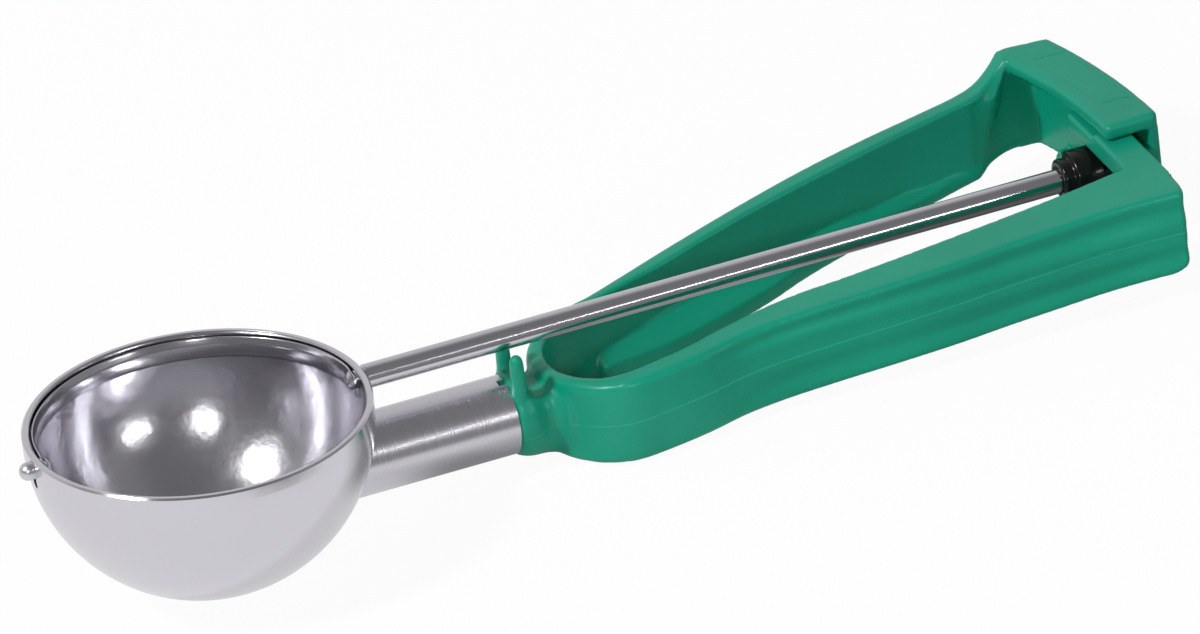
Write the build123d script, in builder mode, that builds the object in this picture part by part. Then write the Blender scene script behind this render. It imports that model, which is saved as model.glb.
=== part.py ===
"""Lever ice cream scoop: a steel bowl on a plastic squeeze handle.

The part lies along +X, with the bowl in front of the handle. The origin is the
centre of the bowl's sphere, on the axis of the drive rod. Squeezing the far arm
towards the near one swings a toothed ledge under the rod's pinion, which turns
the rod and sweeps the scraper half a turn round the inside of the bowl.
"""

from build123d import *
from math import cos, degrees, floor, hypot, pi, radians, sin, tan
import os

os.makedirs("parts", exist_ok=True)

# ---------------------------------------------------------------- clearances
running_gap = 0.05
sliding_gap = 0.3
blade_gap = 0.3
cap_gap = 0.35
under_plate_gap = 0.6
fit_gap = 0.03
spigot_gap = 0.1
split_gap_angle = 1.0

# ---------------------------------------------------------------------- bowl
bowl_radius = 28.0
bowl_wall = 1.2
bowl_rim_height = 1.95
bowl_rim_bevel = 0.3
keyhole_width = 1.5
keyhole_depth = 3.3

# ------------------------------------------------------- rod, pin and rivets
rod_radius = 2.0
shank_radius = 1.5
pin_reach = 2.3
tenon_radius = 0.9
rivet_radius = 1.5
rivet_height = 0.8

# -------------------------------------------------------------- scraper blade
blade_width = 3.5
blade_thickness = 0.6
blade_tongue = 2.2
blade_park_angle = 1.2

# ------------------------------------------------------------------ neck tube
tube_radius = 6.5
tube_wall = 1.0
tube_drop = 13.58
tube_end = 51.0
tube_notch_width = 1.4
tube_notch_depth = 1.2
tube_notch_offset = -1.1

# ------------------------------------------------------------- stub and fork
spigot_length = 20.0
stub_belly = 6.9
stub_waist = 5.9
stub_length = 8.2
valley_radius = 2.9
valley_depth = 2.4
valley_x = 4.6
prong_width = 1.9
prong_thickness = 2.0
prong_spread = 4.0
prong_start = 0.6
prong_stagger = 0.6
prong_top = -1.45
prong_length = 7.5

# --------------------------------------------------------- handle, side view
flex_x = 65.0
deck_height = -6.2
deck_angle = 9.4
arm_height = 14.4
arm_bevel = 0.8

# --------------------------------------------------------- handle, plan view
bend_x = 71.2
bend_inner = 11.4
bend_nose = 14.1
bend_outer = 15.6
split_angle = 135.0
far_arm_angle = 110.0
tongue_front = 153.3
tongue_rear = 158.4
near_corner_y = -16.4
near_heel = (157.5, -31.5)
heel_round = 3.5
far_arm_end = (147.0, 21.7)
lip_height = 3.2

# ----------------------------------------------------- tongue and its window
tongue_far_y = 7.4
tongue_step_y = -3.5
tongue_step = 0.9
plate_depth = 2.5
window_top = 4.75
journal_gap = 0.2
cradle_ledge = 1.1
swing_margin = 0.6

# ------------------------------------------------------------ drive, pinion
tooth_module = 0.75
tooth_count = 10
tooth_reach = 0.7
tooth_clearance = 0.2
tooth_backlash = 0.18
pressure_angle = 20.0
collar_radius = 3.5
collar_length = 2.8
flange_length = 3.5
gear_length = 2.2
gear_end_gap = 0.4
pinion_bevel = 0.3

# --------------------------------------------------------- lever leg and cap
leg_inner = 92.6
leg_outer = 98.3
leg_wall_near = 1.9
leg_wall_far = 1.8
leg_near_angle = -5.6
leg_full_angle = 4.4
leg_corner_angle = 15.0
rack_near_angle = -1.9
rack_far_angle = 10.4
cap_height = 2.8
cap_front_far = (151.2, 28.6)
cap_rear_far = (158.3, 25.4)
cap_rear_bulge = 0.9
cap_front_near = (154.3, -7.6)
cap_round = 1.2
pocket_depth = 2.4
pocket_top = (149.0, 11.0)
pocket_foot = (143.2, -8.6)
sweep_start = 143.8
step_up_start = 142.6
step_up_middle = (144.7, -6.25)
step_up_end = 149.5

# ------------------------------------------------------------ worked-out sizes
bowl_inner = bowl_radius - bowl_wall
bowl_bore = shank_radius + running_gap
blade_outer = bowl_inner - blade_gap
blade_inner = blade_outer - blade_thickness
tube_axis = Axis((0, 0, -tube_drop), (1, 0, 0))
deck_slope = tan(radians(deck_angle))
pitch_radius = tooth_module * tooth_count / 2
tip_radius = pitch_radius + tooth_reach
root_radius = pitch_radius - tooth_reach - tooth_clearance
gear_end = flex_x + leg_inner - gear_end_gap
gear_start = gear_end - gear_length
flange_start = gear_start - flange_length
collar_start = flange_start - collar_length
wall_back = gear_start - flex_x
rack_inner = wall_back + sliding_gap
mesh_radius = (rack_inner + gear_end - flex_x) / 2
rack_pitch_angle = degrees(pi * tooth_module / mesh_radius)
drive_ratio = mesh_radius / pitch_radius
squeeze_angle = (180 - 2 * blade_park_angle) / drive_ratio
rebate_radius = leg_inner - sliding_gap
tooth_half = pi * tooth_module / 4 - tooth_backlash / 2
tooth_slope = tan(radians(pressure_angle))
rack_tip_half = tooth_half - tooth_reach * tooth_slope
rack_root_half = tooth_half + (tooth_reach + tooth_clearance) * tooth_slope
cradle_bottom = -tip_radius - journal_gap - cradle_ledge
far_below = -60.0
tall = -2 * far_below


def deck_plane(rise=0.0):
    """The sloping top of the handle, moved up by rise."""
    slope = radians(deck_angle)
    return Plane(
        origin=(flex_x, 0, deck_height + rise),
        x_dir=(cos(slope), 0, sin(slope)),
        z_dir=(-sin(slope), 0, cos(slope)),
    )


def deck_z(x):
    """Height of the handle's sloping top above the rod at this place along it."""
    return deck_height + deck_slope * (x - flex_x)


def polar(radius, angle):
    """A plan point at this radius and angle about the flexing centre."""
    return (flex_x + radius * cos(radians(angle)), radius * sin(radians(angle)))


def bend_point(across, along, angle):
    """A plan point on an ellipse about the centre of the bend."""
    return (bend_x + across * cos(radians(angle)), along * sin(radians(angle)))


def cross_plane(x):
    """A plane across the rod, with local x towards the far side and y up."""
    return Plane(origin=(x, 0, 0), x_dir=(0, 1, 0), z_dir=(1, 0, 0))


def rack_plane(angle):
    """A plane across a radius of the flexing centre, at the rack's inner edge."""
    x, y = polar(rack_inner, angle)
    turn = radians(angle)
    return Plane(origin=(x, y, 0), x_dir=(-sin(turn), cos(turn), 0), z_dir=(cos(turn), sin(turn), 0))


def inner_bend(start_angle, sweep_angle):
    """Part of the inside of the U-bend."""
    return CenterArc((bend_x, 0), bend_inner, start_angle, sweep_angle)


def outer_bend(start_angle, sweep_angle):
    """Part of the outside of the U-bend, which is thinner at its nose."""
    return EllipticalCenterArc((bend_x, 0), bend_nose, bend_outer, start_angle, arc_size=sweep_angle)


def outward_reach(edge):
    """How far the middle of a handle edge lies from the bend's centre or the rod."""
    middle = edge @ 0.5
    return hypot(min(middle.X - bend_x, 0), middle.Y)


# ---------------------------------------------------------------------- bowl
with BuildPart() as bowl:
    with BuildSketch(Plane.XZ):
        with BuildLine():
            CenterArc((0, 0), bowl_radius, -90, 90)
            Line((bowl_radius, 0), (bowl_radius, bowl_rim_height))
            Line((bowl_radius, bowl_rim_height), (bowl_inner, bowl_rim_height))
            Line((bowl_inner, bowl_rim_height), (bowl_inner, 0))
            CenterArc((0, 0), bowl_inner, 0, -90)
            Line((0, -bowl_inner), (0, -bowl_radius))
        make_face()
    revolve(axis=Axis.Z)
    rim_edges = bowl.edges().filter_by(GeomType.CIRCLE).group_by(Axis.Z)[-1]
    chamfer(rim_edges, bowl_rim_bevel)
    with BuildSketch(cross_plane(-bowl_radius - pin_reach)):
        Circle(bowl_bore)
        with Locations((0, -keyhole_depth / 2)):
            SlotOverall(keyhole_depth, keyhole_width, rotation=90)
    extrude(amount=2 * (bowl_radius + pin_reach), mode=Mode.SUBTRACT)
bowl.part.label = "bowl"
export_step(bowl.part, "parts/bowl.step")

# ------------------------------------------------------------------ neck tube
with BuildPart() as neck_tube:
    with BuildSketch(cross_plane(0)):
        with Locations((0, -tube_drop)):
            Circle(tube_radius)
            Circle(tube_radius - tube_wall, mode=Mode.SUBTRACT)
    extrude(amount=tube_end)
    Sphere(bowl_radius, mode=Mode.SUBTRACT)
    with Locations((tube_end, tube_notch_offset, -tube_drop + tube_radius)):
        Box(2 * tube_notch_depth, tube_notch_width, 4 * tube_wall, mode=Mode.SUBTRACT)
neck_tube.part.label = "neck_tube"
export_step(neck_tube.part, "parts/neck_tube.step")

# -------------------------------------------------------------- scraper blade
blade_end_angle = degrees(blade_tongue / blade_outer)
blade_start = Plane(
    origin=(0, 0, 0),
    x_dir=(cos(radians(blade_end_angle)), -sin(radians(blade_end_angle)), 0),
    z_dir=(-sin(radians(blade_end_angle)), -cos(radians(blade_end_angle)), 0),
)
with BuildPart() as scraper_blade:
    with BuildSketch(blade_start):
        Circle(blade_outer)
        Circle(blade_inner, mode=Mode.SUBTRACT)
        with Locations((blade_inner, 0)):
            Rectangle(4 * blade_thickness, blade_width, mode=Mode.INTERSECT)
    revolve(axis=Axis.Z, revolution_arc=180 + 2 * blade_end_angle)
    corner_edges = scraper_blade.edges().filter_by(lambda edge: edge.length < 1.1 * blade_thickness)
    fillet(corner_edges, 0.45 * blade_width)
    with BuildSketch(cross_plane(-blade_outer)):
        Circle(tenon_radius + fit_gap)
    extrude(amount=2 * blade_outer, mode=Mode.SUBTRACT)
parked_blade = scraper_blade.part.rotate(Axis.X, -blade_park_angle)
parked_blade.label = "scraper_blade"
export_step(parked_blade, "parts/scraper_blade.step")

# ------------------------------------------------------------------ pivot pin
pin_tip = bowl_radius + pin_reach
rivet_seat = blade_inner - fit_gap - tenon_radius ** 2 / blade_inner
with BuildPart() as pivot_pin:
    with BuildSketch(Plane.XZ):
        with BuildLine():
            Line((-rivet_seat + rivet_height, 0), (-pin_tip, 0))
            RadiusArc((-pin_tip, 0), (-pin_tip + shank_radius, shank_radius), shank_radius)
            Polyline(
                (-pin_tip + shank_radius, shank_radius),
                (-blade_outer, shank_radius),
                (-blade_outer, tenon_radius),
                (-rivet_seat, tenon_radius),
                (-rivet_seat, rivet_radius),
            )
            TangentArc((-rivet_seat + rivet_height, 0), (-rivet_seat, rivet_radius), tangent=(0, 1))
        make_face()
    revolve(axis=Axis.X)
pivot_pin.part.label = "pivot_pin"
export_step(pivot_pin.part, "parts/pivot_pin.step")

# ------------------------------------------------------------------ drive rod
rod_end = gear_end - pinion_bevel - rod_radius / 2
with BuildPart() as drive_rod:
    with BuildSketch(Plane.XZ):
        with BuildLine():
            TangentArc((rivet_seat - rivet_height, 0), (rivet_seat, rivet_radius), tangent=(0, 1))
            Polyline(
                (rivet_seat, rivet_radius),
                (rivet_seat, tenon_radius),
                (blade_outer, tenon_radius),
                (blade_outer, shank_radius),
                (bowl_radius + sliding_gap, shank_radius),
                (bowl_radius + sliding_gap, rod_radius),
                (rod_end, rod_radius),
                (rod_end, 0),
                (rivet_seat - rivet_height, 0),
            )
        make_face()
    revolve(axis=Axis.X)
drive_rod.part.label = "drive_rod"
export_step(drive_rod.part, "parts/drive_rod.step")

# ----------------------------------------------------------------- rod pinion
with BuildSketch() as pinion_tooth:
    with BuildLine():
        Polyline(
            (root_radius / 2, tooth_half + tooth_reach * tooth_slope / 2),
            (pitch_radius, tooth_half),
            (tip_radius, tooth_half - tooth_reach * tooth_slope),
            (tip_radius, -tooth_half + tooth_reach * tooth_slope),
            (pitch_radius, -tooth_half),
            (root_radius / 2, -tooth_half - tooth_reach * tooth_slope / 2),
            close=True,
        )
    make_face()
with BuildPart() as rod_pinion:
    with BuildSketch(cross_plane(collar_start)):
        Circle(collar_radius)
    extrude(amount=collar_length)
    chamfer(rod_pinion.edges().group_by(Axis.X)[0], pinion_bevel)
    with BuildSketch(cross_plane(flange_start)):
        Circle(tip_radius)
    extrude(amount=flange_length)
    flange_rim = rod_pinion.faces().filter_by(Axis.X).sort_by(Axis.X)[1].outer_wire()
    chamfer(flange_rim.edges(), pinion_bevel)
    with BuildSketch(cross_plane(gear_start)):
        Circle(root_radius)
        with PolarLocations(0, tooth_count, start_angle=-90):
            add(pinion_tooth.sketch)
    extrude(amount=gear_length)
    with BuildSketch(cross_plane(collar_start)):
        Circle(rod_radius + fit_gap)
    extrude(amount=rod_end + fit_gap - collar_start, mode=Mode.SUBTRACT)
rod_pinion.part.label = "rod_pinion"
export_step(rod_pinion.part, "parts/rod_pinion.step")

# ------------------------------------------------ hollows behind the tongue
def ring_sector(inner_radius, outer_radius, near_angle, far_angle):
    """A plan face between two radii and two angles about the flexing centre."""
    with BuildSketch() as sector:
        with BuildLine():
            CenterArc((flex_x, 0), inner_radius, near_angle, far_angle - near_angle)
            Line(polar(inner_radius, far_angle), polar(outer_radius, far_angle))
            CenterArc((flex_x, 0), outer_radius, far_angle, near_angle - far_angle)
            Line(polar(outer_radius, near_angle), polar(inner_radius, near_angle))
        make_face()
    return sector.sketch


clear_far_angle = 2 * leg_full_angle
rack_swept_angle = rack_near_angle - squeeze_angle - swing_margin
leg_swept_angle = leg_near_angle - squeeze_angle - swing_margin
full_swept_angle = leg_full_angle - squeeze_angle - swing_margin

with BuildPart() as tongue_hollow:
    with BuildSketch(Plane.XY.offset(far_below)):
        add(ring_sector(wall_back, 2 * leg_outer, rack_swept_angle, clear_far_angle))
        add(ring_sector(rebate_radius, 2 * leg_outer, leg_swept_angle, clear_far_angle))
    extrude(amount=tall)
    split(bisect_by=deck_plane(-plate_depth), keep=Keep.BOTTOM)

with BuildPart() as tongue_step_cut:
    with BuildSketch(Plane.XY.offset(far_below)):
        with Locations((tongue_front - 1, tongue_step_y)):
            Rectangle(2 * leg_outer, 4 * tongue_far_y, align=(Align.MIN, Align.MIN))
    extrude(amount=tall)
    split(bisect_by=deck_plane(-tongue_step), keep=Keep.TOP)


# --------------------------------------------------------------- handle frame
lower_half = 270.0 - split_angle
heel_start = (tongue_rear - heel_round, deck_z(tongue_rear - heel_round) - arm_height)
heel_stop = (tongue_rear, heel_start[1] + 1.2 * heel_round)
with BuildPart() as handle_frame:
    with BuildSketch(Plane.XY.offset(far_below)):
        with BuildLine():
            Line(bend_point(bend_nose, bend_outer, split_angle), bend_point(bend_inner, bend_inner, split_angle))
            inner_bend(split_angle, lower_half)
            Spline(
                (bend_x, -bend_inner),
                (83.0, -11.0),
                (94.0, -10.2),
                (109.0, -12.2),
                (124.0, -14.0),
                (tongue_front, near_corner_y),
                tangents=[(1, 0), (1, -0.06)],
            )
            Polyline(
                (tongue_front, near_corner_y),
                (tongue_front, tongue_far_y),
                (tongue_rear, tongue_far_y),
                (tongue_rear, near_heel[1] + 6.0),
                near_heel,
            )
            Spline(
                near_heel,
                (153.0, -29.4),
                (137.0, -25.3),
                (120.5, -22.4),
                (101.3, -18.2),
                (86.6, -15.7),
                (bend_x, -bend_outer),
                tangents=[(-1, 0.5), (-1, 0)],
            )
            outer_bend(270, -lower_half)
        make_face()
    extrude(amount=tall)
    split(bisect_by=deck_plane(), keep=Keep.BOTTOM)
    split(bisect_by=deck_plane(-arm_height), keep=Keep.TOP)
    flat_edges = handle_frame.faces().filter_by(deck_plane()).edges()
    arm_edges = flat_edges.filter_by(lambda edge: (edge @ 0.5).X < tongue_front - 1 and edge.length > bend_nose / 2)
    chamfer(arm_edges.filter_by(lambda edge: outward_reach(edge) > bend_nose), arm_bevel)
    with BuildSketch(Plane.XY.offset(cradle_bottom)):
        with Locations((tongue_front, near_corner_y - 1)):
            Rectangle(
                tongue_rear - tongue_front,
                tongue_far_y - near_corner_y + 1,
                align=(Align.MIN, Align.MIN),
            )
    extrude(amount=-cradle_bottom)

    with BuildSketch(Plane.XZ):
        with BuildLine():
            TangentArc(heel_start, heel_stop, tangent=(1, deck_slope))
            Polyline(
                heel_stop,
                (tongue_rear + heel_round, heel_stop[1]),
                (tongue_rear + heel_round, far_below),
                (heel_start[0], far_below),
                heel_start,
            )
        make_face()
    extrude(amount=tall, mode=Mode.SUBTRACT)
    add(tongue_hollow.part, mode=Mode.SUBTRACT)
    add(tongue_step_cut.part, mode=Mode.SUBTRACT)
    with BuildSketch(Plane.XY.offset(far_below)):
        add(ring_sector(rebate_radius, 2 * leg_outer, full_swept_angle, clear_far_angle))
    extrude(amount=tall, mode=Mode.SUBTRACT)
    with BuildSketch(cross_plane(tongue_front - 1)):
        with BuildLine():
            Polyline(
                (near_corner_y + 0.5, 0),
                (2 * tongue_far_y, 0),
                (2 * tongue_far_y, window_top),
                (near_corner_y + 0.5, window_top),
                close=True,
            )
        make_face()
        Circle(tip_radius + journal_gap)
    extrude(amount=gear_start - tongue_front + 1, mode=Mode.SUBTRACT)

    with BuildSketch(Plane.XZ):
        with BuildLine():
            Spline(
                (tube_end, -tube_drop + tube_radius),
                (tube_end + 2.4, -tube_drop + stub_belly),
                (tube_end + 5.4, -tube_drop + stub_waist),
                (tube_end + stub_length, -tube_drop + tube_radius),
            )
            Polyline(
                (tube_end + stub_length, -tube_drop + tube_radius),
                (tube_end + stub_length, -tube_drop),
                (tube_end, -tube_drop),
                (tube_end, -tube_drop + tube_radius),
            )
        make_face()
    revolve(axis=tube_axis)
    with BuildSketch(cross_plane(tube_end)):
        with Locations((0, -tube_drop)):
            Circle(tube_radius - tube_wall - spigot_gap)
    extrude(amount=-spigot_length)
    with BuildSketch(Plane.XZ):
        with Locations((tube_end + valley_x, -tube_drop + tube_radius - valley_depth + valley_radius)):
            Circle(valley_radius)
    extrude(amount=tube_radius, both=True, mode=Mode.SUBTRACT)
    for side in (-1, 1):
        prong_x = tube_end + prong_start + prong_width / 2 + (side + 1) / 2 * prong_stagger
        with BuildSketch(Plane.XZ.offset(prong_thickness / 2 - side * prong_spread)):
            with Locations((prong_x, prong_top - prong_width / 2)):
                Circle(prong_width / 2)
                Rectangle(prong_width, prong_length, align=(Align.CENTER, Align.MAX))
        extrude(amount=-prong_thickness)
handle_frame.part.label = "handle_frame"
export_step(handle_frame.part, "parts/handle_frame.step")

# --------------------------------------------------------------- handle lever
cap_rear_near = polar(leg_outer, leg_near_angle)
wall_near = (cap_rear_near[0] - leg_wall_near, cap_rear_near[1])
wall_far = (cap_rear_near[0] - leg_wall_near - leg_wall_far, polar(leg_inner, leg_full_angle)[1])
far_arm_slope = (sin(radians(far_arm_angle)), -cos(radians(far_arm_angle)))
lever_start_angle = split_angle - split_gap_angle
with BuildPart() as arm_lip:
    with BuildSketch(Plane.XY.offset(far_below)):
        with BuildLine():
            Spline(
                (79.0, 14.0),
                (90.0, 13.0),
                (99.0, 12.6),
                (107.0, 14.6),
                (119.0, 17.0),
                (134.0, 20.0),
                far_arm_end,
            )
            Polyline(far_arm_end, (128.4, 22.5), (94.8, 18.4), (79.0, 14.0))
        make_face()
    extrude(amount=tall)
    split(bisect_by=deck_plane(lip_height - arm_height), keep=Keep.BOTTOM)
    split(bisect_by=deck_plane(-arm_height), keep=Keep.TOP)

with BuildPart() as leg:
    with BuildSketch(Plane.XY.offset(cradle_bottom)) as leg_outline:
        with BuildLine():
            Polyline(polar(leg_inner, leg_full_angle), wall_far, wall_near, cap_rear_near)
            SagittaArc(cap_rear_near, cap_rear_far, -cap_rear_bulge)
            Polyline(
                cap_rear_far,
                cap_front_far,
                (cap_front_far[0], far_arm_end[1] + pocket_depth),
                polar(leg_inner, leg_corner_angle),
            )
            CenterArc((flex_x, 0), leg_inner, leg_corner_angle, leg_full_angle - leg_corner_angle)
        make_face()
        rear_corners = leg_outline.vertices().sort_by_distance(cap_rear_near)[:1]
        rear_corners += leg_outline.vertices().sort_by_distance(cap_rear_far)[:1]
        fillet(rear_corners, cap_round)
    extrude(amount=tall)
    split(bisect_by=deck_plane(cap_height), keep=Keep.BOTTOM)

with BuildPart() as leg_block:
    with BuildSketch(Plane.XY.offset(cradle_bottom)):
        with BuildLine():
            CenterArc((flex_x, 0), leg_inner, leg_near_angle, leg_full_angle - leg_near_angle)
            Polyline(polar(leg_inner, leg_full_angle), wall_far, wall_near, polar(leg_inner, leg_near_angle))
        make_face()
    extrude(amount=tall)
    split(bisect_by=deck_plane(-plate_depth - under_plate_gap), keep=Keep.BOTTOM)

with BuildPart() as cap:
    with BuildSketch(Plane.XY.offset(cradle_bottom)) as cap_outline:
        with BuildLine():
            Polyline(cap_rear_near, cap_front_near, cap_front_far, cap_rear_far)
            SagittaArc(cap_rear_far, cap_rear_near, cap_rear_bulge)
        make_face()
        fillet(cap_outline.vertices().sort_by_distance(cap_front_far)[1:], cap_round)
    extrude(amount=tall)
    split(bisect_by=deck_plane(cap_gap), keep=Keep.TOP)
    split(bisect_by=deck_plane(cap_height), keep=Keep.BOTTOM)

with BuildPart() as handle_lever:
    with BuildSketch(Plane.XY.offset(far_below)):
        with BuildLine():
            Line(
                bend_point(bend_nose, bend_outer, lever_start_angle),
                bend_point(bend_inner, bend_inner, lever_start_angle),
            )
            inner_bend(lever_start_angle, far_arm_angle - lever_start_angle)
            Spline(
                bend_point(bend_inner, bend_inner, far_arm_angle),
                (77.5, 13.6),
                (94.8, 16.9),
                (111.8, 19.4),
                (128.4, 21.0),
                far_arm_end,
                tangents=[far_arm_slope, (1, 0.02)],
            )
            Polyline(far_arm_end, (cap_front_far[0], far_arm_end[1]), cap_front_far)
            Spline(
                cap_front_far,
                (145.5, 26.3),
                (135.5, 25.2),
                (119.2, 24.4),
                (102.3, 22.0),
                (90.7, 19.8),
                (78.9, 17.2),
                bend_point(bend_nose, bend_outer, far_arm_angle),
                tangents=[(-1, -0.6), (-1, -0.36)],
            )
            outer_bend(far_arm_angle, lever_start_angle - far_arm_angle)
        make_face()
    extrude(amount=tall)
    split(bisect_by=deck_plane(-arm_height), keep=Keep.TOP)
    add(arm_lip.part)
    with BuildSketch(Plane.XZ):
        with BuildLine():
            Line((flex_x - bend_outer, deck_z(flex_x - bend_outer)), (sweep_start, deck_z(sweep_start)))
            top_sweep = TangentArc(
                (sweep_start, deck_z(sweep_start)),
                (cap_front_far[0], deck_z(cap_front_far[0]) + cap_height),
                tangent=(1, deck_slope),
            )
            Polyline(
                top_sweep @ 1,
                (leg_outer + flex_x, deck_z(cap_front_far[0]) + cap_height),
                (leg_outer + flex_x, tall),
                (flex_x - bend_outer, tall),
                (flex_x - bend_outer, deck_z(flex_x - bend_outer)),
            )
        make_face()
    extrude(amount=tall, both=True, mode=Mode.SUBTRACT)
    with BuildSketch(Plane.XZ):
        with BuildLine():
            Spline(
                (step_up_start, deck_z(step_up_start) - arm_height),
                step_up_middle,
                (step_up_end, cradle_bottom),
                tangents=[(1, 0.9), (1, 0.05)],
            )
            Polyline(
                (step_up_end, cradle_bottom),
                (leg_outer + flex_x, cradle_bottom),
                (leg_outer + flex_x, far_below),
                (step_up_start, far_below),
                (step_up_start, deck_z(step_up_start) - arm_height),
            )
        make_face()
    extrude(amount=tall, both=True, mode=Mode.SUBTRACT)
    with BuildSketch(Plane.XZ.offset(-far_arm_end[1] - pocket_depth)):
        with BuildLine():
            Polyline(
                pocket_top,
                pocket_foot,
                (leg_outer + flex_x, pocket_foot[1]),
                (leg_outer + flex_x, pocket_top[1]),
                close=True,
            )
        make_face()
    extrude(amount=2 * pocket_depth, mode=Mode.SUBTRACT)
    add(leg.part)
    add(leg_block.part)
    add(cap.part)
    with BuildSketch(Plane.XY.offset(cradle_bottom)):
        add(ring_sector(rack_inner, leg_inner + 1, rack_near_angle, rack_far_angle))
    extrude(amount=-pitch_radius - tooth_reach - tooth_clearance - cradle_bottom)
    first_tooth = floor(rack_near_angle / rack_pitch_angle) + 1
    last_tooth = floor(rack_far_angle / rack_pitch_angle)
    tooth_angles = [(index + 0.5) * rack_pitch_angle for index in range(first_tooth, last_tooth)]
    with BuildSketch(*[rack_plane(angle) for angle in tooth_angles]):
        with BuildLine():
            Polyline(
                (-rack_root_half, -pitch_radius - tooth_reach - tooth_clearance),
                (-rack_tip_half, -pitch_radius + tooth_reach),
                (rack_tip_half, -pitch_radius + tooth_reach),
                (rack_root_half, -pitch_radius - tooth_reach - tooth_clearance),
                close=True,
            )
        make_face()
    extrude(amount=leg_inner - rack_inner)
handle_lever.part.label = "handle_lever"
export_step(handle_lever.part, "parts/handle_lever.step")
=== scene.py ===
"""Lever ice cream scoop: the looks of the part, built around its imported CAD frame."""

import bmesh
import bpy
import numpy as np
from bpy.props import FloatProperty, FloatVectorProperty, PointerProperty
from bpy.types import Operator, Panel, PropertyGroup
from mathutils import Matrix, Vector


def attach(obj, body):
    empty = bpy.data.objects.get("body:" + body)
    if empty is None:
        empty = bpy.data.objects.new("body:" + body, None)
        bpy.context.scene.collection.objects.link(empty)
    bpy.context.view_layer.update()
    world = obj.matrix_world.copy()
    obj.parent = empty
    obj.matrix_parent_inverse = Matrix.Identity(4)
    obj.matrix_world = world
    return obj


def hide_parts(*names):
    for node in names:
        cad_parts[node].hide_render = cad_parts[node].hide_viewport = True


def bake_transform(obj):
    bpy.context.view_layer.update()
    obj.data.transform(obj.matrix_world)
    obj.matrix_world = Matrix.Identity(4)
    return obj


bl_info = {
    "name": "Lever ice cream scoop",
    "version": (1, 0, 0),
    "blender": (4, 5, 0),
    "location": "3D View > Sidebar > Scoop",
    "description": "Finishes and stages a lever ice cream scoop on its packed frame",
    "category": "Object",
}

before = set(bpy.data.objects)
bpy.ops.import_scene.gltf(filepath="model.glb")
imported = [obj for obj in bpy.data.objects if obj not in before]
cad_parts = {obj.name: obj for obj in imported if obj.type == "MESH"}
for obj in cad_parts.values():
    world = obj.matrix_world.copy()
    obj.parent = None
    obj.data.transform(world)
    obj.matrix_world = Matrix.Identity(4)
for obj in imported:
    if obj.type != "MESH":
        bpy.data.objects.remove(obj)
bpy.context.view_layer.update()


# ------------------------------------------------------------------ properties
class SteelSettings(PropertyGroup):
    """Finish of the polished steel pieces."""

    colour: FloatVectorProperty(
        name="Steel colour",
        description="Colour that the polished steel reflects",
        subtype="COLOR",
        min=0.0,
        max=1.0,
        default=(0.75, 0.735, 0.79),
    )
    roughness: FloatProperty(
        name="Steel roughness",
        description="Blur of the reflections in the outside of the bowl",
        subtype="FACTOR",
        min=0.0,
        max=1.0,
        default=0.12,
    )


class PlasticSettings(PropertyGroup):
    """Finish and fineness of the moulded handle."""

    colour: FloatVectorProperty(
        name="Handle colour",
        description="Colour of the moulded handle",
        subtype="COLOR",
        min=0.0,
        max=1.0,
        default=(0.003, 0.33, 0.208),
    )
    roughness: FloatProperty(
        name="Handle roughness",
        description="Blur of the reflections in the moulded handle",
        subtype="FACTOR",
        min=0.0,
        max=1.0,
        default=0.34,
    )
    voxel: FloatProperty(
        name="Skin fineness",
        description="Mesh width of the handle's skin, in millimetres",
        min=0.2,
        max=1.0,
        default=0.4,
    )


class StageSettings(PropertyGroup):
    """The floor and the lamps."""

    floor_tilt: FloatProperty(
        name="Floor tilt",
        description="Slope of the floor under the bowl and the bend of the handle",
        subtype="ANGLE",
        unit="ROTATION",
        default=np.radians(6.45),
    )
    floor_radius: FloatProperty(
        name="Floor radius",
        description="Reach of the floor round the scoop",
        subtype="DISTANCE",
        unit="LENGTH",
        default=0.45,
    )
    key_power: FloatProperty(
        name="Key light power",
        description="Power of the round lamp on the bowl's side",
        subtype="POWER",
        unit="POWER",
        default=7.0,
    )
    side_power: FloatProperty(
        name="Side light power",
        description="Power of the left low lamp in front; the right one has a set share of it",
        subtype="POWER",
        unit="POWER",
        default=1.6,
    )


# ------------------------------------------------------------------- materials
def plain_material(name):
    """A new material and its Principled shader."""
    material = bpy.data.materials.new(name)
    material.use_nodes = True
    return material, material.node_tree.nodes["Principled BSDF"]


def link(owner, from_node, from_socket, to_node, to_socket):
    """Joins two nodes of a material or of the world."""
    owner.node_tree.links.new(from_node.outputs[from_socket], to_node.inputs[to_socket])


def helper(owner, kind, sockets=None, **settings):
    """A new node of a material or of the world, with its settings and its sockets' values."""
    node = owner.node_tree.nodes.new(kind)
    for name, value in settings.items():
        setattr(node, name, value)
    for name, value in (sockets or {}).items():
        node.inputs[name].default_value = value
    return node


def soft_step(owner, source, socket, low, high, first, last):
    """A smooth step from first below low to last above high."""
    values = {"From Min": low, "From Max": high, "To Min": first, "To Max": last}
    step = helper(owner, "ShaderNodeMapRange", values, interpolation_type="SMOOTHSTEP")
    link(owner, source, socket, step, "Value")
    return step


def maths(owner, operation, first, second):
    """One node of maths on two results, each a node, a node and its socket, or a number."""
    node = helper(owner, "ShaderNodeMath", operation=operation)
    for place, term in enumerate((first, second)):
        if isinstance(term, (int, float)):
            node.inputs[place].default_value = term
        elif isinstance(term, tuple):
            link(owner, term[0], term[1], node, place)
        else:
            link(owner, term, 0, node, place)
    return node


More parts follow.
